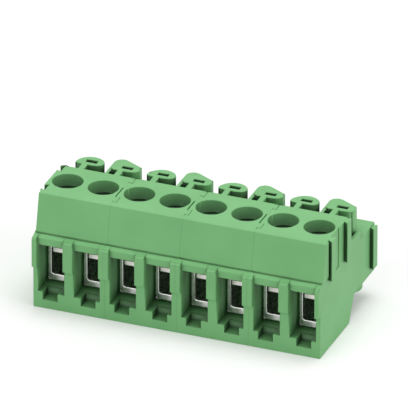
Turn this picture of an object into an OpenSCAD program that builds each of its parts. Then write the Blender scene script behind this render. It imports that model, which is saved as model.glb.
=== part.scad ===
// Pluggable screw terminal block, built from two-way housing modules that dovetail together.
// X runs along the row, Y from the wire side to the mating side, Z up.
// The origin is the middle of the face that the block stands on. The modules below are drawn
// with Y = 0 at the lower front face, and place() moves them to the origin.

/* [Row] */
// Distance from one terminal to the next
pitch = 5.0; // [4.9:0.05:6]
// Two-way housing modules in the row
modules = 4; // [1:1:6]
// Gap at the seam between two modules
seam = 0.04; // [0.02:0.01:0.1]

/* [Housing profile] */
// Height of the housing over the screws
height = 15.95; // [15.9:0.05:17.5]
// Height of the ledge below the leaning front face
ledge_z = 10.6; // [10.3:0.1:11]
// Distance that the ledge is set back from the lower front face
ledge_y = 0.45; // [0.2:0.05:0.8]
// Height of the ledge's slanted face
ledge_h = 0.4; // [0.2:0.05:0.8]
// Height of the narrow groove between the ledge and the leaning front face
groove_h = 0.2; // [0.1:0.05:0.4]
// Depth of that groove behind the ledge
groove_depth = 0.15; // [0.05:0.05:0.3]
// Distance that the front top edge is set back from the lower front face
top_front_y = 1.6; // [1:0.05:1.8]
// Rear wall of the upper part
top_rear_y = 9.85; // [9.8:0.05:10.3]
// Depth of the foot on the standing surface
foot_depth = 10.5; // [9.5:0.1:11.5]
// Depth of the foot where it meets the mating part
foot_top_depth = 12.3; // [11.6:0.05:12.8]
// Overall depth
depth = 19.65; // [19.4:0.05:22]
// Underside of the mating part
mating_z = 3.45; // [3.2:0.05:3.9]
// Top of the mating part
mating_top_z = 10.5; // [10.2:0.05:11.2]

/* [Front pillars] */
// Thickness of the wall between two wire openings
pillar_w = 1.35; // [1.1:0.05:1.5]
// Distance that the upper half of a pillar stands forward
pillar_proud = 0.6; // [0.4:0.05:1.2]
// Height at which a pillar steps forward
pillar_step_z = 6.05; // [4.5:0.05:7]
// Radius of a pillar's shoulder
shoulder_r = 0.6; // [0.4:0.1:1]
// Distance of the middle of the shoulder's arc below the ledge
shoulder_drop = 0.8; // [0.7:0.05:1.6]
// Direction in which the shoulder's arc ends
shoulder_end = 95; // [90:1:110]

/* [Wire openings] */
// Floor of a wire opening
opening_floor_z = 2.35; // [1.8:0.05:2.4]
// Top of a wire opening, under the lintel
opening_top_z = 9.2; // [9:0.05:9.5]
// Width of the notch in the sill
notch_w = 2.05; // [1.4:0.05:2.4]
// Floor of the notch in the sill
notch_floor_z = 1.25; // [0.6:0.05:1.6]
// Depth of the notch from the front
notch_depth = 1.9; // [1:0.1:2.4]
// Distance that a notch sits off the middle of its opening
notch_shift = 0.15; // [0:0.05:0.3]
// Width of the chamber behind a wire opening
chamber_w = 3.9; // [3.7:0.05:4]

/* [Clamp cage] */
// Width of the cage
cage_w = 3.25; // [3.1:0.05:3.3]
// Length of the cage along the wire
cage_l = 5.95; // [5.4:0.05:6]
// Thickness of the cage's sides
cage_side_t = 0.56; // [0.45:0.01:0.57]
// Thickness of the cage's floor
cage_floor_t = 0.95; // [0.6:0.05:1]
// Thickness of the cage's tapped plate
cage_plate_t = 1.25; // [1:0.05:1.3]
// Radius of the cage's outer corners
cage_r = 0.45; // [0.2:0.05:0.55]
// Radius of the window's corners
window_r = 0.3; // [0.1:0.05:0.4]
// Underside of the open cage
cage_z = 2.7; // [2.65:0.05:2.8]
// Height of the cage's window
window_h = 4.05; // [3.95:0.05:4.1]
// Travel of the cage from open to fully clamped
cage_travel = 2.9; // [2:0.1:3]
// Gap between the cage and the chamber it slides in
cage_gap = 0.3; // [0.2:0.05:0.35]
// Clearance beside the cage where the chamber guides it, over the wire opening
cage_side_gap = 0.15; // [0.1:0.01:0.16]

/* [Clamp screw] */
// Distance of the screws behind the lower front face
screw_y = 5.95; // [5.85:0.05:6]
// Diameter of the screw's head
head_d = 3.9; // [3.6:0.05:3.95]
// Height of the screw's head
head_h = 1.4; // [1.2:0.1:1.7]
// Chamfer of the head's upper edge
head_chamfer = 0.2; // [0.05:0.05:0.4]
// Width of the screwdriver slot
slot_w = 0.8; // [0.5:0.05:1]
// Depth of the screwdriver slot
slot_depth = 0.8; // [0.5:0.05:1]
// Diameter of the screw's thread
thread_d = 2.0; // [1.6:0.1:2]
// Chamfer of the screw's tip
tip_chamfer = 0.35; // [0.1:0.05:0.6]
// Radial running clearance of the thread in the cage
thread_gap = 0.05; // [0.02:0.01:0.09]
// Diameter of the hole above the screw
driver_d = 4.1; // [4:0.05:4.2]
// Radial clearance round the head in its pocket, in front of it and behind it
head_gap = 0.3; // [0.26:0.02:0.5]
// Clearance beside the head in its pocket, towards the neighbouring pockets
head_side_gap = 0.17; // [0.1:0.01:0.2]
// Thickness of the web that carries the head
web_t = 0.4; // [0.4:0.05:0.6]

/* [Contact] */
// Width of the busbar
busbar_w = 1.9; // [1.5:0.05:1.95]
// Thickness of the busbar
busbar_t = 0.65; // [0.4:0.05:0.8]
// Top of the busbar, under the screw's tip
busbar_top_z = 7.45; // [7.4:0.05:7.5]
// Distance of the busbar's front end behind the front of the cage
busbar_set_back = 0.1; // [0:0.05:0.4]
// Distance of the pin sockets behind the lower front face
socket_y = 16.5; // [16.2:0.1:17]
// Outer diameter of a pin socket
socket_d = 2.3; // [2:0.05:2.5]
// Bore of a pin socket
socket_bore = 1.4; // [1.1:0.05:1.5]
// Length of a pin socket
socket_l = 6.2; // [5:0.1:6.4]
// Height of a pin socket over the busbar
socket_rise = 1.4; // [1:0.1:1.6]
// Clearance round the contact in the housing
contact_gap = 0.05; // [0.03:0.01:0.1]

/* [Mating side] */
// Outer diameter of the sleeve round a pin socket
sleeve_d = 3.8; // [3.6:0.1:4.4]
// Lower end of a sleeve
sleeve_z = 2.0; // [1.5:0.05:2.1]
// Depth of the funnel
funnel_h = 0.5; // [0.3:0.05:0.55]
// Diameter of the pin entry
entry_d = 1.8; // [1.6:0.05:1.9]
// Diameter of the funnel's mouth at the pin entry
funnel_d = 2.8; // [2.2:0.1:3]
// Width of the window in the rear face
rear_window_w = 2.6; // [2.4:0.1:3]
// Height of the window in the rear face
rear_window_h = 4.2; // [3:0.1:4.4]

/* [Test towers] */
// Diameter of a tower
tower_d = 4.0; // [3.6:0.1:4.4]
// Distance of a tower's flat front before its middle
tower_front = 0.28; // [0.2:0.02:0.5]
// Radius of the right front corner of a tower
tower_corner_r = 0.95; // [0.6:0.05:1.1]
// Radius of the left front corner of a tower
tower_edge_r = 0.25; // [0.1:0.05:0.4]
// Distance of the middle of the towers behind the lower front face
tower_y = 13.7; // [13.5:0.05:14]
// Top of a tower
tower_z = 14.75; // [14:0.05:15.8]
// Width of the test slot
test_slot_w = 1.5; // [1.2:0.1:1.8]
// Length of the test slot
test_slot_l = 0.7; // [0.5:0.05:0.9]
// Distance of the test slot behind the middle of its tower
test_slot_shift = 0.7; // [0:0.1:0.9]
// Thickness of the web between a tower and the upper part
tower_web_t = 0.8; // [0.5:0.05:1]
// Distance of the web from the middle of its tower
tower_web_shift = 0.6; // [0.2:0.05:0.8]
// Thickness of the side wall of an even tower
guard_t = 0.5; // [0.4:0.05:0.6]
// Distance of that side wall's outer face from the middle of its tower
guard_x = 2.5; // [2.1:0.05:2.5]
// Distance that the rounded back reaches behind the middle of the tower
guard_reach = 3.4; // [2.8:0.05:3.8]
// Radius of the rounded back
guard_r = 1.1; // [0.8:0.05:1.4]
// Direction in which the arc of the guard's back ends
guard_end = 62; // [50:1:80]
// Width of the back to the right of the middle of its tower
guard_side = 1.5; // [1.2:0.05:1.7]
// Distance of the back's right corner behind the middle of the tower
guard_corner = 2.0; // [1.6:0.05:2.2]
// Top of the side wall and the rounded back
guard_z = 14.4; // [13.8:0.05:14.7]

/* [Gusset] */
// Length of the gusset behind the upper part
gusset_l = 4.75; // [4:0.05:5.5]
// Height of the gusset over the mating part
gusset_h = 1.05; // [0.8:0.05:1.5]
// Thickness of the gusset
gusset_t = 0.6; // [0.4:0.05:0.8]
// Length of the gusset's level top
gusset_top_l = 2.3; // [1.5:0.1:3]

/* [Dovetails] */
// Width of a tongue at its root
tongue_root = 0.9; // [0.7:0.05:1]
// Width of a tongue at its tip
tongue_tip = 1.5; // [1.2:0.05:1.6]
// Distance that a tongue stands out
tongue_l = 0.56; // [0.4:0.02:0.56]
// Clearance round a tongue in its groove
tongue_gap = 0.05; // [0.03:0.01:0.07]
// Distance that the leaning front face laps over the next module
front_lap = 0.2; // [0.1:0.05:0.3]
// Distance of the lap's rear end in front of the first tongue's tip
lap_inset = 0.15; // [0.1:0.05:0.4]
// Distance of the first tongue behind the lower front face
first_tongue_y = 3.4; // [3:0.05:3.5]
// Distance of the second tongue from the rear wall of the upper part
second_tongue_inset = 0.82; // [0.81:0.01:1.2]
// Lower end of the upper tongues
upper_tongue_z = 10.05; // [9.6:0.05:11]
// Distance of the rear tongue from the rear face
rear_tongue_inset = 1.05; // [0.85:0.05:2]
// Lower end of the rear tongue
rear_tongue_z = 4.35; // [4:0.05:7]
// Distance of the rear tongue's upper end below the top of the mating part
rear_tongue_drop = 0.15; // [0:0.05:0.5]
// Depth of the shallow relief behind the first tongue
relief_depth = 0.15; // [0.05:0.01:0.2]
// Length of the relief
relief_l = 2.6; // [2:0.1:3]
// Lower end of the relief over the lower end of the upper tongues
relief_rise = 0.2; // [0:0.05:1]

/* [Hidden] */
$fn = 48;
poles = 2 * modules;
cut = 1;
eps = 0.01;
large_arc_n = 20;
guard_arc_n = 10;
module_w = 2 * pitch - seam;
lean = (top_front_y - ledge_y) / (height - ledge_z);
lap_y = first_tongue_y - tongue_tip / 2 - lap_inset;
opening_w = pitch - pillar_w;
guide_w = cage_w + 2 * cage_side_gap;
upper_tongue_y = [first_tongue_y, top_rear_y - second_tongue_inset];
chamber_y = [screw_y - cage_l / 2 - cage_gap, screw_y + cage_l / 2 + cage_gap];
cage_h = cage_floor_t + window_h + cage_plate_t;
window_w = cage_w - 2 * cage_side_t;
chamber_top_z = cage_z + cage_h + cage_travel + cage_gap;
pocket_z = chamber_top_z + web_t;
pocket_d = head_d + 2 * head_gap;
pocket_w = head_d + 2 * head_side_gap;
head_z = pocket_z + thread_gap;
tip_z = busbar_top_z + thread_gap;
bore_z = head_z + head_h + 2 * thread_gap;
busbar_y = screw_y - cage_l / 2 + busbar_set_back;
socket_top_z = busbar_top_z + socket_rise;
socket_z = socket_top_z - socket_l;
green = [0.43, 0.68, 0.43];
tin = [0.82, 0.83, 0.84];
steel = [0.72, 0.73, 0.75];
contact_tin = [0.88, 0.87, 0.84];

// Points of an arc round c, from angle a to angle b
function arc(c, r, a, b, n = 6) =
    [for (i = [0:n]) c + r * [cos(a + (b - a) * i / n), sin(a + (b - a) * i / n)]];

// Points of a rectangle with rounded corners, centred on the origin
function rounded_rect(w, h, r) = concat(
    arc([w / 2 - r, h / 2 - r], r, 0, 90), arc([r - w / 2, h / 2 - r], r, 90, 180),
    arc([r - w / 2, r - h / 2], r, 180, 270), arc([w / 2 - r, r - h / 2], r, 270, 360));

// Extrudes a drawing of the side view, in Y and Z, from x0 to x1
module along_x(x0, x1) {
    translate([x0, 0, 0]) rotate([90, 0, 90]) linear_extrude(x1 - x0) children();
}

// Extrudes a drawing of the front view, in X and Z, from y0 to y1
module along_y(y0, y1) {
    translate([0, y1, 0]) rotate([90, 0, 0]) linear_extrude(y1 - y0) children();
}

// A box from its lowest and highest corners
module box(low, high) {
    translate(low) cube(high - low);
}

// Side view of a module without its pillars
module side_view() {
    polygon([
        [0, 0], [foot_depth, 0], [foot_top_depth, mating_z], [depth, mating_z],
        [depth, mating_top_z], [top_rear_y, mating_top_z], [top_rear_y, height],
        [top_front_y, height], [ledge_y + lean * groove_h, ledge_z + groove_h],
        [ledge_y + groove_depth, ledge_z + groove_h], [ledge_y + groove_depth, ledge_z],
        [ledge_y, ledge_z], [0, ledge_z - ledge_h]]);
}

// Side view of the part of a pillar that stands forward
module pillar_view() {
    polygon(concat(
        [[ledge_y, pillar_step_z], [-pillar_proud, pillar_step_z]],
        arc([shoulder_r - pillar_proud, ledge_z - shoulder_drop], shoulder_r, 180, shoulder_end),
        [[ledge_y, ledge_z]]));
}

// The pillars at the ends and in the middle of a module
module pillars() {
    along_x(0, pillar_w / 2) pillar_view();
    along_x(pitch - pillar_w / 2, pitch + pillar_w / 2) pillar_view();
    along_x(2 * pitch - pillar_w / 2, module_w) pillar_view();
}

// Side view of the lap of the leaning front face; grow enlarges it for the recess of the next module
module lap_view(grow) {
    translate([-cut, ledge_z + groove_h - grow]) square([lap_y + grow + cut, height]);
}

// Outline of a dovetail from above, standing out towards +X from its root
module dovetail(grow) {
    polygon([
        [-eps, -tongue_root / 2 - grow], [tongue_l + grow, -tongue_tip / 2 - grow],
        [tongue_l + grow, tongue_tip / 2 + grow], [-eps, tongue_root / 2 + grow]]);
}

// The three dovetails of one end, larger by grow for the grooves
module dovetails(grow) {
    for (y = upper_tongue_y)
        translate([0, y, upper_tongue_z - grow])
            linear_extrude(height - upper_tongue_z + (grow > 0 ? cut : 0)) dovetail(grow);
    translate([0, depth - rear_tongue_inset, rear_tongue_z - grow])
        linear_extrude(mating_top_z - rear_tongue_drop - rear_tongue_z + (grow > 0 ? cut : 0))
            dovetail(grow);
}

// Everything that is cut out for one terminal, centred on X = 0; side is 1 or -1
module terminal_cuts(side) {
    half = opening_w / 2;
    // wire opening
    box([-half, -pillar_proud - cut, opening_floor_z], [half, chamber_y[0] + eps, opening_top_z]);
    // chamber of the cage, and its narrower upper part that guides the cage
    box([-chamber_w / 2, chamber_y[0], opening_floor_z], [chamber_w / 2, chamber_y[1], opening_top_z]);
    box([-guide_w / 2, chamber_y[0], opening_top_z - eps], [guide_w / 2, chamber_y[1], chamber_top_z]);
    // notch in the sill
    translate([-side * notch_shift, 0, 0])
        box([-notch_w / 2, -cut, notch_floor_z], [notch_w / 2, notch_depth, opening_floor_z + eps]);
    // screw: shank hole, head pocket and screwdriver hole
    translate([0, screw_y, chamber_top_z - eps]) cylinder(d = thread_d + 2 * head_gap, h = web_t + 2 * eps);
    intersection() {
        translate([0, screw_y, pocket_z]) cylinder(d = pocket_d, h = bore_z - pocket_z);
        box([-pocket_w / 2, screw_y - pocket_d, pocket_z], [pocket_w / 2, screw_y + pocket_d, bore_z]);
    }
    translate([0, screw_y, bore_z - eps]) cylinder(d = driver_d, h = height - bore_z + cut);
    // channel of the busbar and well of the pin socket
    box([-busbar_w / 2 - contact_gap, chamber_y[1] - eps, busbar_top_z - busbar_t - contact_gap],
        [busbar_w / 2 + contact_gap, socket_y, busbar_top_z + contact_gap]);
    translate([0, socket_y, socket_z - contact_gap])
        cylinder(d = socket_d + 2 * contact_gap, h = socket_l + 2 * contact_gap);
    // pin entry with its funnel
    translate([0, socket_y, sleeve_z - cut]) cylinder(d = entry_d, h = socket_z - sleeve_z + cut);
    translate([0, socket_y, sleeve_z])
        rotate_extrude() polygon([[0, -eps], [funnel_d / 2 + eps, -eps], [entry_d / 2, funnel_h],
            [0, funnel_h]]);
    // window in the rear face, through which the contact goes in
    box([-rear_window_w / 2, socket_y, socket_top_z + contact_gap - rear_window_h],
        [rear_window_w / 2, depth + cut, socket_top_z + contact_gap]);
    // test slot down to the busbar
    translate([0, tower_y + test_slot_shift, 0])
        box([-test_slot_w / 2, -test_slot_l / 2, busbar_top_z], [test_slot_w / 2, test_slot_l / 2, height]);
}

// Middle of a corner arc of radius r that is tangent to the tower's flat front and to its round back
function corner_x(r) = sqrt(pow(tower_d / 2 - r, 2) - pow(r - tower_front, 2));
// Direction in which that corner arc runs into the round back
function corner_angle(r) = atan2(r - tower_front, corner_x(r));

// Outline of a tower from above: round, with a flat front whose right corner is well rounded
module tower_outline() {
    right = tower_corner_r;
    left = tower_edge_r;
    polygon(concat(
        arc([corner_x(right), right - tower_front], right, -90, corner_angle(right)),
        arc([0, 0], tower_d / 2, corner_angle(right), 180 - corner_angle(left), large_arc_n),
        arc([-corner_x(left), left - tower_front], left, 180 - corner_angle(left), 270)));
}

// Tower with its web, centred on X = 0
module tower() {
    base = mating_top_z - cut;
    translate([0, tower_y, base]) linear_extrude(tower_z - base) tower_outline();
    box([-tower_web_shift - tower_web_t / 2, top_rear_y - cut, base],
        [-tower_web_shift + tower_web_t / 2, tower_y, tower_z]);
}

// Side wall and rounded back of an even tower, centred on X = 0
module tower_guard() {
    front = tower_y - tower_front;
    back = tower_y + guard_reach;
    translate([0, 0, mating_top_z - cut]) linear_extrude(guard_z - mating_top_z + cut) union() {
        polygon(concat(
            [[0, front], [-guard_x, front]],
            arc([guard_r - guard_x, back - guard_r], guard_r, 180, guard_end, guard_arc_n),
            [[guard_side, tower_y + guard_corner], [guard_side, tower_y]]));
        translate([-guard_x, top_rear_y - cut]) square([guard_t, tower_y - top_rear_y + cut]);
    }
}

// Low gusset behind the upper part, on the right side of a module
module gusset() {
    back = top_rear_y + gusset_l;
    top = mating_top_z + gusset_h;
    along_x(module_w - gusset_t, module_w)
        polygon([[top_rear_y - cut, mating_top_z - cut], [back, mating_top_z - cut], [back, top],
            [back - gusset_top_l, top], [top_rear_y - cut, top + gusset_h]]);
}

// Side view of the shallow relief behind the first tongue
module relief_view() {
    front = first_tongue_y + tongue_tip / 2;
    translate([front, upper_tongue_z + relief_rise]) square([relief_l, height]);
}

// One two-way housing module, moulded in one piece
module housing_module() {
    color(green) difference() {
        union() {
            along_x(0, module_w) side_view();
            pillars();
            translate([module_w, 0, 0]) dovetails(0);
            along_x(module_w - eps, module_w + front_lap) intersection() {
                side_view();
                lap_view(0);
            }
            gusset();
            for (p = [0, 1]) translate([(p + 0.5) * pitch, 0, 0]) {
                tower();
                if (p == 1) tower_guard();
                translate([0, socket_y, sleeve_z]) cylinder(d = sleeve_d, h = mating_z - sleeve_z + cut);
            }
        }
        for (p = [0, 1]) translate([(p + 0.5) * pitch, 0, 0]) terminal_cuts(1 - 2 * p);
        translate([-eps, 0, 0]) dovetails(tongue_gap);
        along_x(-cut, front_lap) lap_view(seam);
        along_x(module_w - relief_depth, module_w + cut) relief_view();
    }
}

// Tension sleeve: a closed ring round the wire and the busbar, with a tapped plate on top
module clamp_cage() {
    color(tin) difference() {
        along_y(screw_y - cage_l / 2, screw_y + cage_l / 2) difference() {
            translate([0, cage_z + cage_h / 2]) polygon(rounded_rect(cage_w, cage_h, cage_r));
            translate([0, cage_z + cage_floor_t + window_h / 2])
                polygon(rounded_rect(window_w, window_h, window_r));
        }
        translate([0, screw_y, cage_z + cage_h - cage_plate_t - cut])
            cylinder(d = thread_d + 2 * thread_gap, h = cage_plate_t + 2 * cut);
    }
}

// Clamp screw: slotted cheese head, shank and a chamfered tip on the busbar
module clamp_screw() {
    color(steel) translate([0, screw_y, 0]) difference() {
        rotate_extrude() polygon([
            [0, tip_z], [thread_d / 2 - tip_chamfer, tip_z], [thread_d / 2, tip_z + tip_chamfer],
            [thread_d / 2, head_z], [head_d / 2, head_z], [head_d / 2, head_z + head_h - head_chamfer],
            [head_d / 2 - head_chamfer, head_z + head_h], [0, head_z + head_h]]);
        translate([0, 0, head_z + head_h - slot_depth / 2 + cut / 2])
            cube([head_d + cut, slot_w, slot_depth + cut], center = true);
    }
}

// Contact: busbar under the screw and pin socket at its rear end, in one formed piece
module contact() {
    color(contact_tin) difference() {
        union() {
            box([-busbar_w / 2, busbar_y, busbar_top_z - busbar_t], [busbar_w / 2, socket_y, busbar_top_z]);
            translate([0, socket_y, socket_z]) cylinder(d = socket_d, h = socket_l);
        }
        translate([0, socket_y, socket_z - cut]) cylinder(d = socket_bore, h = socket_l + 2 * cut);
    }
}

// Puts what is drawn at x along the row in its place round the origin
module place(x) {
    translate([x - modules * pitch, -foot_depth / 2, 0]) children();
}

for (m = [1:modules]) {
    place((m - 1) * 2 * pitch) housing_module();
}
for (p = [1:poles]) {
    place((p - 0.5) * pitch) clamp_cage();
    place((p - 0.5) * pitch) clamp_screw();
    place((p - 0.5) * pitch) contact();
}
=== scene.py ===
"""Eight-way pluggable terminal block: finishes, softened edges, cut threads, light and camera."""
import math

import bmesh
import bpy
from mathutils import Matrix, Vector


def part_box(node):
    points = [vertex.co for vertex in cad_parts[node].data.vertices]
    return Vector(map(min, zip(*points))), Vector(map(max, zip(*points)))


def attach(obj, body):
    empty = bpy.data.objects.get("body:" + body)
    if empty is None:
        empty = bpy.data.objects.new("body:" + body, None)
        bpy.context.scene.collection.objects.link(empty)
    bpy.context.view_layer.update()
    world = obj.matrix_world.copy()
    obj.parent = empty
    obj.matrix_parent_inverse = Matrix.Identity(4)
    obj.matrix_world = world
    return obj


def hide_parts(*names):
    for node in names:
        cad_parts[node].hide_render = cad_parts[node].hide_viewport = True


MM = 0.001

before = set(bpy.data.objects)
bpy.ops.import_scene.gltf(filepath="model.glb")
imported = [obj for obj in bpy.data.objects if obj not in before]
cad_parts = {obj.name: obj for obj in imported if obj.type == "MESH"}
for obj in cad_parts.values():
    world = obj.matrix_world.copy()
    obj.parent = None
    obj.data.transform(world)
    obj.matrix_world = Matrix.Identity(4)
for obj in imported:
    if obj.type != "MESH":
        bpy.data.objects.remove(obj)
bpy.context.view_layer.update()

# ---------------------------------------------------------------- sizes, in metres
POLES = 8
HOUSINGS = 4
HOUSING_EDGE = 0.10 * MM     # rounding of the moulded edges
CAGE_EDGE = 0.13 * MM        # rounding of the cage's pressed edges
CONTACT_EDGE = 0.06 * MM     # rounding of the contact's cut edges
SHARP = math.radians(14)     # edges keener than this are rounded
SEAMS = (-10 * MM, 0.0, 10 * MM)
SEAM_REACH = 1.2 * MM        # either side of a seam, past its tongues and grooves
MODULE_ENDS = (-20 * MM,) + SEAMS + (20 * MM,)
RIGHT_FLANKS = (-0.04 * MM, 0.16 * MM)   # of a module, from the seam, below and above the ledge
SEAM_CLOSED = 0.022 * MM     # by which the right flanks stand closer to the next module
FLAT = math.radians(1.0)     # faces that meet flatter than this are one
SAME_POINT = 0.001 * MM      # points closer than this are one
SEAM_FACING = 0.9            # of a face's normal along X, from which it faces the next module
EDGE_ENDS = 0.02 * MM        # of an edge, where a corner counts as its own
FLANK_REACH = 0.005 * MM     # within which a point belongs to a flank
EDGE_SHARE = 0.4             # of the room beside an edge that its rounding may take
THREAD_PITCH = 0.4 * MM
THREAD_DEPTH = 0.18 * MM
THREAD_DIAMETER = 2.0 * MM
TAPPED_DIAMETER = 2.1 * MM   # of the cage's plate, before its thread
TAPPED_RIDGE = 0.09 * MM     # radius of the rounded thread in the plate
THREAD_RINGS = 10.0          # rings of points to each turn of the thread
THREAD_POINTS = 40           # points round the shank
FLANK_START = 0.12           # of a turn, where the flank leaves the root
FLANK_END = 0.40             # and where it reaches the crest
TIP_CHAMFER = 0.3 * MM
PLAIN_NECK = 0.5 * MM        # of the shank, under the head
THREAD_END = 0.1 * MM        # that the tapped thread stays inside each face of the plate
RIDGE_INSET = 0.01 * MM      # by which its middle line stands off the hole's wall
RIDGE_POINTS = 96            # along the tapped thread
HEAD_HEIGHT = 1.4 * MM
HEAD_POINTS = 64             # round the head
HEAD_KEEN = math.radians(40)  # edges of the head keener than this are rounded
SLOT_WIDTH = 0.8 * MM
SLOT_DEPTH = 0.8 * MM
PLATE_THICKNESS = 1.25 * MM
SCREW_EDGE = 0.12 * MM       # rounding of the head's rim and slot
FLOOR_GLOW = 0.12            # share of the floor's own white, which only the camera sees
ROOM_LIGHT = 0.55            # strength of the room's white as light, where it shows as 1

# camera: one long lens, a little above the row and to its right
CAMERA_TARGET = Vector((0.000036, 0.00444, 0.01411))
CAMERA_AZIMUTH = 21.33
CAMERA_ELEVATION = 27.57
CAMERA_ROLL = 0.1
CAMERA_DISTANCE = 2.075
CAMERA_LENS = 1411.4         # on a 36 mm wide sensor


# ---------------------------------------------------------------- materials
def colour(hex_code):
    """Turns an sRGB hex code into the linear RGBA that shaders take."""
    parts = [int(hex_code[i:i + 2], 16) / 255 for i in (1, 3, 5)]
    return [c / 12.92 if c <= 0.04045 else ((c + 0.055) / 1.055) ** 2.4 for c in parts] + [1.0]


def add(tree, kind, settings=None, inputs=None):
    """Adds a node with its settings, its input values and its links."""
    made = tree.nodes.new(kind)
    for name, value in (settings or {}).items():
        setattr(made, name, value)
    for name, value in (inputs or {}).items():
        if isinstance(value, bpy.types.NodeSocket):
            tree.links.new(value, made.inputs[name])
        else:
            made.inputs[name].default_value = value
    return made


def maths(tree, operation, *values):
    """The result of one Math node, with its values or links in order."""
    made = add(tree, "ShaderNodeMath", {"operation": operation}, dict(enumerate(values)))
    return made.outputs[0]


def material(name):
    """An empty node material and its tree."""
    made = bpy.data.materials.new(name)
    made.use_nodes = True
    made.node_tree.nodes.clear()
    return made, made.node_tree


def ramp(tree, factor, low, high):
    """Blends two colours over the middle stretch of a pattern's values."""
    made = add(tree, "ShaderNodeValToRGB", inputs={"Fac": factor})
    made.color_ramp.elements[0].position = 0.35
    made.color_ramp.elements[0].color = low
    made.color_ramp.elements[1].position = 0.65
    made.color_ramp.elements[1].color = high
    return made.outputs["Color"]


def output(tree, shader):
    """Ends a material's tree with its shader."""
    add(tree, "ShaderNodeOutputMaterial", inputs={"Surface": shader})


def moulded_polyamide():
    """Satin green faces with a soft sheen along the edges: PA 6.6 from a spark-eroded mould.

    The faint cloudiness is pigment flow a few millimetres across; the bump is the mould's
    grain of 0.03 mm, drawn at 0.12 mm so that it shows. Deep recesses get painted shade: an
    ambient-occlusion mask darkens their green beyond the shade that the lamps leave there.
    """
    made, tree = material("moulded_polyamide_green")
    place = add(tree, "ShaderNodeTexCoord").outputs["Object"]
    flow = add(tree, "ShaderNodeTexNoise", {}, {
        "Vector": place, "Scale": 1 / (6 * MM), "Detail": 3.0, "Roughness": 0.55}).outputs["Fac"]
    grain = add(tree, "ShaderNodeTexNoise", {}, {
        "Vector": place, "Scale": 1 / (0.12 * MM), "Detail": 2.0,
        "Roughness": 0.5}).outputs["Fac"]
    tint = ramp(tree, flow, colour("#70b070"), colour("#76b676"))
    gloss = add(tree, "ShaderNodeMapRange", {}, {
        "Value": grain, "To Min": 0.42, "To Max": 0.54}).outputs["Result"]
    bump = add(tree, "ShaderNodeBump", {}, {
        "Height": grain, "Strength": 0.12, "Distance": 0.01 * MM}).outputs["Normal"]
    # painted shade: an ambient-occlusion mask darkens the green in recesses and creases
    openness = add(tree, "ShaderNodeAmbientOcclusion", {"samples": 8, "only_local": True}, {
        "Distance": 4.0 * MM}).outputs["AO"]
    shade = add(tree, "ShaderNodeMapRange", {}, {
        "Value": openness, "From Min": 0.25, "From Max": 0.85,
        "To Min": 0.12, "To Max": 1.0}).outputs["Result"]
    tint = add(tree, "ShaderNodeVectorMath", {"operation": "SCALE"}, {
        0: tint, "Scale": shade}).outputs[0]
    shader = add(tree, "ShaderNodeBsdfPrincipled", {}, {
        "Base Color": tint, "Roughness": gloss, "IOR": 1.53, "Normal": bump,
        "Specular IOR Level": 0.42}).outputs["BSDF"]
    output(tree, shader)
    return made


def tinned_steel():
    """Bright tin over cold-rolled strip: near-white, with soft rolling lines along the strip."""
    made, tree = material("tinned_steel_strip")
    place = add(tree, "ShaderNodeTexCoord").outputs["Object"]
    stretched = add(tree, "ShaderNodeMapping", {}, {
        "Vector": place, "Scale": (1.0, 0.12, 1.0)}).outputs["Vector"]
    lines = add(tree, "ShaderNodeTexNoise", {}, {
        "Vector": stretched, "Scale": 1 / (0.10 * MM), "Detail": 2.0}).outputs["Fac"]
    bloom = add(tree, "ShaderNodeTexNoise", {}, {
        "Vector": place, "Scale": 1 / (0.8 * MM), "Detail": 3.0}).outputs["Fac"]
    tint = ramp(tree, bloom, colour("#d9d9d6"), colour("#ecebe8"))
    gloss = add(tree, "ShaderNodeMapRange", {}, {
        "Value": lines, "To Min": 0.18, "To Max": 0.34}).outputs["Result"]
    bump = add(tree, "ShaderNodeBump", {}, {
        "Height": lines, "Strength": 0.15, "Distance": 0.01 * MM}).outputs["Normal"]
    shader = add(tree, "ShaderNodeBsdfPrincipled", {}, {
        "Base Color": tint, "Metallic": 1.0, "Roughness": gloss, "Normal": bump}).outputs["BSDF"]
    output(tree, shader)
    return made


def zinc_plated_steel():
    """Turned steel with clear zinc: cool grey, its shine broken up by fine roughness."""
    made, tree = material("zinc_plated_screw_steel")
    place = add(tree, "ShaderNodeTexCoord").outputs["Object"]
    cloud = add(tree, "ShaderNodeTexNoise", {}, {
        "Vector": place, "Scale": 1 / (0.5 * MM), "Detail": 4.0}).outputs["Fac"]
    tint = ramp(tree, cloud, colour("#c3c7cb"), colour("#dcdedf"))
    fine = add(tree, "ShaderNodeTexNoise", {}, {
        "Vector": place, "Scale": 1 / (0.06 * MM), "Detail": 2.0}).outputs["Fac"]
    gloss = add(tree, "ShaderNodeMapRange", {}, {
        "Value": fine, "To Min": 0.25, "To Max": 0.42}).outputs["Result"]
    bump = add(tree, "ShaderNodeBump", {}, {
        "Height": fine, "Strength": 0.2, "Distance": 0.008 * MM}).outputs["Normal"]
    shader = add(tree, "ShaderNodeBsdfPrincipled", {}, {
        "Base Color": tint, "Metallic": 1.0, "Roughness": gloss, "Normal": bump}).outputs["BSDF"]
    output(tree, shader)
    return made


def tinned_copper():
    """Matt tin over copper alloy: slightly warm, softer than the cage."""
    made, tree = material("tinned_copper_alloy")
    place = add(tree, "ShaderNodeTexCoord").outputs["Object"]
    cloud = add(tree, "ShaderNodeTexNoise", {}, {
        "Vector": place, "Scale": 1 / (0.6 * MM), "Detail": 3.0}).outputs["Fac"]
    tint = ramp(tree, cloud, colour("#dedbd4"), colour("#efede8"))
    gloss = add(tree, "ShaderNodeMapRange", {}, {
        "Value": cloud, "To Min": 0.24, "To Max": 0.36}).outputs["Result"]
    shader = add(tree, "ShaderNodeBsdfPrincipled", {}, {
        "Base Color": tint, "Metallic": 1.0, "Roughness": gloss}).outputs["BSDF"]
    output(tree, shader)
    return made


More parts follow.
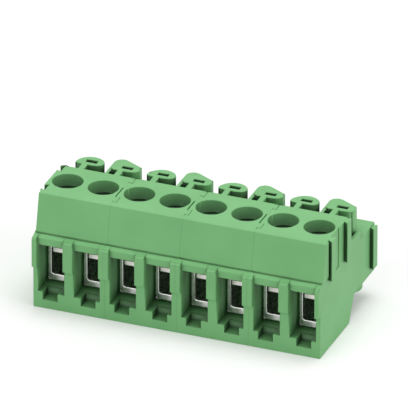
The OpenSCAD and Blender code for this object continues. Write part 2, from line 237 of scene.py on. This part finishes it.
def white_floor():
    """Matt white board that keeps the object's shadow and runs out to plain white."""
    made, tree = material("white_floor_board")
    place = add(tree, "ShaderNodeTexCoord").outputs["Object"]
    grain = add(tree, "ShaderNodeTexNoise", {}, {
        "Vector": place, "Scale": 1 / (20 * MM), "Detail": 2.0}).outputs["Fac"]
    tint = ramp(tree, grain, colour("#fafafa"), colour("#fcfcfc"))
    path = add(tree, "ShaderNodeLightPath")
    # as colours, the node blends its inputs 6 and 7 into its output 2
    cast = add(tree, "ShaderNodeMix", {"data_type": "RGBA"}, {
        "Factor": path.outputs["Is Camera Ray"], 6: colour("#f4f4f4"), 7: tint})
    board = add(tree, "ShaderNodeBsdfDiffuse", {}, {"Color": cast.outputs[2]}).outputs["BSDF"]
    lift = add(tree, "ShaderNodeEmission", {}, {
        "Color": colour("#ffffff"),
        "Strength": path.outputs["Is Camera Ray"]}).outputs["Emission"]
    mixed = add(tree, "ShaderNodeMixShader", {}, {"Fac": FLOOR_GLOW, 1: board, 2: lift})
    output(tree, mixed.outputs["Shader"])
    return made


# ---------------------------------------------------------------- pieces
def link(name, mesh):
    """An object of a mesh, in the scene."""
    made = bpy.data.objects.new(name, mesh)
    bpy.context.scene.collection.objects.link(made)
    return made


def on_seam(face, seams):
    """Whether a face lies against the neighbouring module, where the edges stay crisp."""
    return abs(face.normal.x) > SEAM_FACING and any(
        abs(face.calc_center_median().x - x) < SEAM_REACH for x in seams)


def room(edge, corners):
    """How far an edge is from the nearest corner that lies beside it."""
    start, end = (vertex.co for vertex in edge.verts)
    length = (end - start).length
    run = (end - start) / length
    least = 1.0
    for corner in corners:
        step = corner - start
        along = step.dot(run)
        if EDGE_ENDS < along < length - EDGE_ENDS:
            least = min(least, (step - along * run).length)
    return least


def softened(node, name, width, segments, seams=()):
    """A copy of a CAD node's mesh with its outer edges rounded and its flat faces kept flat.

    A housing module is cut near its ends first, so that a long edge gives way to its neighbours
    only there, and its right flanks are moved up to the next module.
    """
    work = bmesh.new()
    work.from_mesh(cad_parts[node].data)
    bmesh.ops.remove_doubles(work, verts=work.verts, dist=SAME_POINT)
    bmesh.ops.dissolve_limit(work, angle_limit=FLAT, verts=work.verts, edges=work.edges)
    for x in MODULE_ENDS if seams else ():
        for side in (x - SEAM_REACH, x + SEAM_REACH):
            bmesh.ops.bisect_plane(work, geom=work.verts[:] + work.edges[:] + work.faces[:],
                                   dist=SAME_POINT, plane_co=(side, 0, 0), plane_no=(1, 0, 0))
    for vertex in work.verts:
        if any(abs(vertex.co.x - x - flank) < FLANK_REACH
               for x in seams for flank in RIGHT_FLANKS):
            vertex.co.x += SEAM_CLOSED
    corners = [vertex.co.copy() for vertex in work.verts]
    weight = work.edges.layers.float.new("bevel_weight_edge")
    for edge in work.edges:
        if (len(edge.link_faces) == 2 and edge.calc_face_angle_signed(0.0) > SHARP
                and not any(on_seam(face, seams) for face in edge.link_faces)):
            edge[weight] = min(1.0, EDGE_SHARE * room(edge, corners) / width)
    mesh = bpy.data.meshes.new(name)
    work.to_mesh(mesh)
    work.free()
    mesh.shade_smooth()
    mesh.set_sharp_from_angle(angle=SHARP)
    piece = link(name, mesh)
    bevel = piece.modifiers.new("rounding", "BEVEL")
    bevel.limit_method = "WEIGHT"
    bevel.width = width
    bevel.segments = segments
    bevel.use_clamp_overlap = False
    bevel.harden_normals = True
    even = piece.modifiers.new("flat faces", "WEIGHTED_NORMAL")
    even.mode = "FACE_AREA"
    even.weight = 100
    even.keep_sharp = True
    return applied(piece)


def applied(piece):
    """Turns a piece and its modifiers into one plain mesh."""
    graph = bpy.context.evaluated_depsgraph_get()
    mesh = bpy.data.meshes.new_from_object(piece.evaluated_get(graph))
    piece.modifiers.clear()
    piece.data = mesh
    return piece


def dress(piece, node, body, finish):
    """Gives a piece its finish, hangs it under its body and hides the CAD node it stands for."""
    piece.data.materials.clear()
    piece.data.materials.append(finish)
    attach(piece, body)
    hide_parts(node)


# ---------------------------------------------------------------- geometry nodes
def tree_with(name, sizes):
    """An empty geometry tree with a named input for each size and one for the material."""
    tree = bpy.data.node_groups.new(name, "GeometryNodeTree")
    for size in sizes:
        tree.interface.new_socket(name=size, in_out="INPUT", socket_type="NodeSocketFloat")
    tree.interface.new_socket(name="Material", in_out="INPUT", socket_type="NodeSocketMaterial")
    tree.interface.new_socket(name="Geometry", in_out="OUTPUT", socket_type="NodeSocketGeometry")
    return tree, add(tree, "NodeGroupInput").outputs


def close_tree(tree, shape, finish):
    """Ends a tree, drawn in millimetres, with plain smooth-shaded geometry in metres."""
    small = add(tree, "GeometryNodeTransform", {}, {
        "Geometry": shape, "Scale": (MM, MM, MM)}).outputs[0]
    smooth = add(tree, "GeometryNodeSetShadeSmooth", {}, {"Geometry": small}).outputs[0]
    plain = add(tree, "GeometryNodeRealizeInstances", {}, {"Geometry": smooth}).outputs[0]
    done = add(tree, "GeometryNodeSetMaterial", {}, {
        "Geometry": plain, "Material": finish}).outputs[0]
    add(tree, "NodeGroupOutput", {}, {"Geometry": done})


def grow(name, tree, values):
    """Puts a tree on a new object as a modifier with its inputs set, for the callers to apply."""
    piece = link(name, bpy.data.meshes.new(name))
    modifier = piece.modifiers.new("grow", "NODES")
    modifier.node_group = tree
    for item in tree.interface.items_tree:
        if item.in_out == "INPUT":
            value = values[item.name]
            modifier[item.identifier] = value / MM if isinstance(value, float) else value
    return piece


def lifted(tree, shape, height):
    """A shape moved up by a height."""
    lift = add(tree, "ShaderNodeCombineXYZ", {}, {"Z": height}).outputs[0]
    return add(tree, "GeometryNodeTransform", {}, {
        "Geometry": shape, "Translation": lift}).outputs[0]


def threaded_shank(tree, size):
    """A fine cylinder whose radius follows a trapezoid wave that winds round it."""
    rings = maths(tree, "DIVIDE", size["Shank length"], size["Thread pitch"])
    rings = maths(tree, "MULTIPLY", rings, THREAD_RINGS)
    blank = add(tree, "GeometryNodeMeshCylinder", {}, {
        "Vertices": THREAD_POINTS, "Side Segments": rings, "Radius": 1.0,
        "Depth": size["Shank length"]}).outputs["Mesh"]
    blank = lifted(tree, blank, maths(tree, "MULTIPLY", size["Shank length"], 0.5))
    place = add(tree, "ShaderNodeSeparateXYZ", {}, {
        0: add(tree, "GeometryNodeInputPosition").outputs[0]}).outputs
    angle = maths(tree, "ARCTAN2", place["Y"], place["X"])
    turn = maths(tree, "DIVIDE", angle, math.tau)
    climb = maths(tree, "DIVIDE", place["Z"], size["Thread pitch"])
    wound = maths(tree, "SUBTRACT", climb, turn)
    wave = maths(tree, "PINGPONG", wound, 0.5)
    flank = add(tree, "ShaderNodeMapRange", {}, {
        "Value": wave, "From Min": FLANK_START, "From Max": FLANK_END}).outputs["Result"]
    neck = maths(tree, "SUBTRACT", size["Shank length"], size["Plain neck"])
    below = maths(tree, "LESS_THAN", place["Z"], neck)
    flank = maths(tree, "MULTIPLY", flank, below)
    short = maths(tree, "SUBTRACT", 1.0, flank)
    short = maths(tree, "MULTIPLY", short, size["Thread depth"])
    crest = maths(tree, "MULTIPLY", size["Thread diameter"], 0.5)
    radius = maths(tree, "SUBTRACT", crest, short)
    tip = maths(tree, "SUBTRACT", crest, size["Tip chamfer"])
    cone = maths(tree, "ADD", tip, place["Z"])
    radius = maths(tree, "MINIMUM", radius, cone)
    spot = add(tree, "ShaderNodeCombineXYZ", {}, {
        "X": maths(tree, "MULTIPLY", place["X"], radius),
        "Y": maths(tree, "MULTIPLY", place["Y"], radius), "Z": place["Z"]}).outputs[0]
    return add(tree, "GeometryNodeSetPosition", {}, {
        "Geometry": blank, "Position": spot}).outputs[0]


def slotted_head(tree, size):
    """A turned disc with a sawn slot, and its keen edges marked for rounding.

    The saw is a box longer than the head is wide, half of it above the head's face.
    """
    head_radius = maths(tree, "MULTIPLY", size["Head diameter"], 0.5)
    head = add(tree, "GeometryNodeMeshCylinder", {}, {
        "Vertices": HEAD_POINTS, "Radius": head_radius,
        "Depth": size["Head height"]}).outputs["Mesh"]
    above = maths(tree, "MULTIPLY_ADD", size["Head height"], 0.5, size["Shank length"])
    head = lifted(tree, head, above)
    saw_size = add(tree, "ShaderNodeCombineXYZ", {}, {
        "X": maths(tree, "MULTIPLY", size["Head diameter"], 1.2), "Y": size["Slot width"],
        "Z": maths(tree, "MULTIPLY", size["Slot depth"], 2.0)}).outputs[0]
    saw = add(tree, "GeometryNodeMeshCube", {}, {"Size": saw_size}).outputs["Mesh"]
    saw = lifted(tree, saw, maths(tree, "ADD", size["Head height"], size["Shank length"]))
    head = add(tree, "GeometryNodeMeshBoolean", {"operation": "DIFFERENCE"}, {
        "Mesh 1": head, "Mesh 2": saw}).outputs["Mesh"]
    bend = add(tree, "GeometryNodeInputMeshEdgeAngle").outputs[0]
    keen = add(tree, "FunctionNodeCompare", {"operation": "GREATER_THAN"}, {
        0: bend, 1: HEAD_KEEN}).outputs[0]
    kind = {"data_type": "FLOAT", "domain": "EDGE"}
    return add(tree, "GeometryNodeStoreNamedAttribute", kind, {
        "Geometry": head, "Selection": keen,
        "Name": "bevel_weight_edge", "Value": 1.0}).outputs[0]


def screw_tree():
    """Slotted cheese-head screw with a cut thread, its tip at the origin."""
    tree, size = tree_with("slotted_clamp_screw", [
        "Thread diameter", "Thread depth", "Thread pitch", "Shank length", "Tip chamfer",
        "Plain neck", "Head diameter", "Head height", "Slot width", "Slot depth"])
    shank = threaded_shank(tree, size)
    head = slotted_head(tree, size)
    joined = add(tree, "GeometryNodeJoinGeometry")
    for part in (head, shank):
        tree.links.new(part, joined.inputs[0])
    close_tree(tree, joined.outputs[0], size["Material"])
    return tree


def tapping_tree():
    """Rounded thread on the wall of the cage's hole, wound to run in the screw's groove."""
    tree, size = tree_with("tapped_thread", [
        "Hole diameter", "Ridge radius", "Thread pitch", "Start height", "Height"])
    line = add(tree, "GeometryNodeCurvePrimitiveLine", {}, {"End": (0.0, 0.0, 1.0)}).outputs[0]
    line = add(tree, "GeometryNodeResampleCurve", {}, {
        "Curve": line, "Count": RIDGE_POINTS}).outputs[0]
    along = add(tree, "GeometryNodeSplineParameter").outputs["Factor"]
    level = maths(tree, "MULTIPLY_ADD", along, size["Height"], size["Start height"])
    angle = maths(tree, "MULTIPLY", maths(tree, "DIVIDE", level, size["Thread pitch"]), math.tau)
    radius = maths(tree, "MULTIPLY", size["Hole diameter"], 0.5)
    spot = add(tree, "ShaderNodeCombineXYZ", {}, {
        "X": maths(tree, "MULTIPLY", maths(tree, "COSINE", angle), radius),
        "Y": maths(tree, "MULTIPLY", maths(tree, "SINE", angle), radius), "Z": level}).outputs[0]
    helix = add(tree, "GeometryNodeSetPosition", {}, {
        "Geometry": line, "Position": spot}).outputs[0]
    section = add(tree, "GeometryNodeCurvePrimitiveCircle", {}, {
        "Resolution": 8, "Radius": size["Ridge radius"]}).outputs["Curve"]
    ridge = add(tree, "GeometryNodeCurveToMesh", {}, {
        "Curve": helix, "Profile Curve": section, "Fill Caps": True}).outputs[0]
    close_tree(tree, ridge, size["Material"])
    return tree


green = moulded_polyamide()
tin = tinned_steel()
zinc = zinc_plated_steel()
copper = tinned_copper()

screw_maker = screw_tree()
tapping_maker = tapping_tree()


def middle(node):
    """The middle of a node's box in X and Y, and its lowest and highest Z."""
    low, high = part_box(node)
    return (low[0] + high[0]) / 2, (low[1] + high[1]) / 2, low[2], high[2]


def clamp_screw(i):
    """A real screw in the place of the CAD screw, which has a plain shank."""
    x, y, tip, top = middle(f"clamp_screw_{i}")
    low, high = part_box(f"clamp_screw_{i}")
    piece = grow(f"slotted_screw_{i}", screw_maker, {
        "Thread diameter": THREAD_DIAMETER, "Thread depth": THREAD_DEPTH,
        "Thread pitch": THREAD_PITCH, "Shank length": top - tip - HEAD_HEIGHT,
        "Tip chamfer": TIP_CHAMFER, "Plain neck": PLAIN_NECK,
        "Head diameter": high[0] - low[0], "Head height": HEAD_HEIGHT,
        "Slot width": SLOT_WIDTH, "Slot depth": SLOT_DEPTH, "Material": zinc})
    bevel = piece.modifiers.new("rounding", "BEVEL")
    bevel.limit_method = "WEIGHT"
    bevel.width = SCREW_EDGE
    bevel.segments = 3
    bevel.harden_normals = True
    applied(piece).data.transform(Matrix.Translation((x, y, tip)))
    dress(piece, f"clamp_screw_{i}", f"screw_{i}", zinc)


def clamp_cage(i):
    """The cage with rounded edges, and its thread wound round the screw."""
    x, y, tip, _ = middle(f"clamp_screw_{i}")
    top = middle(f"clamp_cage_{i}")[3]
    ring = softened(f"clamp_cage_{i}", f"cage_ring_{i}", CAGE_EDGE, 3)
    thread = grow(f"cage_thread_{i}", tapping_maker, {
        "Hole diameter": TAPPED_DIAMETER - 2 * RIDGE_INSET, "Ridge radius": TAPPED_RIDGE,
        "Thread pitch": THREAD_PITCH, "Start height": top - PLATE_THICKNESS - tip + THREAD_END,
        "Height": PLATE_THICKNESS - 2 * THREAD_END, "Material": tin})
    applied(thread).data.transform(Matrix.Translation((x, y, tip)))
    dress(ring, f"clamp_cage_{i}", f"cage_{i}", tin)
    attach(thread, f"cage_{i}")


for i in range(1, HOUSINGS + 1):
    node = f"housing_module_{i}"
    dress(softened(node, f"housing_shell_{i}", HOUSING_EDGE, 2, SEAMS), node, "block",
          green)
for i in range(1, POLES + 1):
    clamp_screw(i)
    clamp_cage(i)
    node = f"contact_{i}"
    dress(softened(node, f"contact_strip_{i}", CONTACT_EDGE, 2), node, "block",
          copper)


# ---------------------------------------------------------------- floor, light and camera
def floor():
    """A board of 3 m by 3 m under the object."""
    work = bmesh.new()
    bmesh.ops.create_grid(work, x_segments=8, y_segments=8, size=1.5)
    mesh = bpy.data.meshes.new("floor_board")
    work.to_mesh(mesh)
    work.free()
    made = link("floor_board", mesh)
    made.data.materials.append(white_floor())


def lamp(name, place, aim, size, power):
    """A round white lamp at a place, turned towards its aim."""
    data = bpy.data.lights.new(name, "AREA")
    data.shape = "DISK"
    data.size = size
    data.energy = power
    made = bpy.data.objects.new(name, data)
    made.location = place
    made.rotation_euler = (Vector(aim) - Vector(place)).to_track_quat("-Z", "Y").to_euler()
    bpy.context.scene.collection.objects.link(made)


def sky():
    """An even white room, seen as plain white behind the floor and in the metal."""
    world = bpy.data.worlds.new("white_room")
    world.use_nodes = True
    tree = world.node_tree
    tree.nodes.clear()
    path = add(tree, "ShaderNodeLightPath").outputs
    seen = maths(tree, "MAXIMUM", path["Is Camera Ray"], path["Is Glossy Ray"])
    seen = maths(tree, "MAXIMUM", seen, path["Is Transmission Ray"])
    strength = add(tree, "ShaderNodeMapRange", {}, {
        "Value": seen, "To Min": ROOM_LIGHT, "To Max": 1.0}).outputs["Result"]
    back = add(tree, "ShaderNodeBackground", {}, {
        "Color": colour("#ffffff"), "Strength": strength}).outputs["Background"]
    add(tree, "ShaderNodeOutputWorld", inputs={"Surface": back})
    bpy.context.scene.world = world


def camera():
    """The camera, aimed from its azimuth and elevation round the target."""
    azimuth, elevation = math.radians(CAMERA_AZIMUTH), math.radians(CAMERA_ELEVATION)
    away = Vector((math.sin(azimuth) * math.cos(elevation),
                   -math.cos(azimuth) * math.cos(elevation), math.sin(elevation)))
    data = bpy.data.cameras.new("camera")
    data.sensor_width = 36.0
    data.lens = CAMERA_LENS
    data.clip_start = 0.01
    data.clip_end = 10.0
    made = bpy.data.objects.new("camera", data)
    made.location = CAMERA_TARGET + away * CAMERA_DISTANCE
    turn = (-away).to_track_quat("-Z", "Y").to_matrix().to_4x4()
    made.rotation_euler = (turn @ Matrix.Rotation(math.radians(CAMERA_ROLL), 4, "Z")).to_euler()
    bpy.context.scene.collection.objects.link(made)
    bpy.context.scene.camera = made


floor()
# place and aim, width in metres and power in watts
lamp("overhead_light", (0.06, 0.08, 0.7), (0, 0, 0), 0.45, 2.3)
lamp("side_light", (0.6, -0.1, 0.3), (0, 0, 0.008), 0.4, 0.9)
lamp("front_light", (-0.15, -0.6, 0.4), (0, 0, 0.008), 0.5, 0.8)
sky()
camera()
bpy.context.scene.view_settings.view_transform = "Standard"
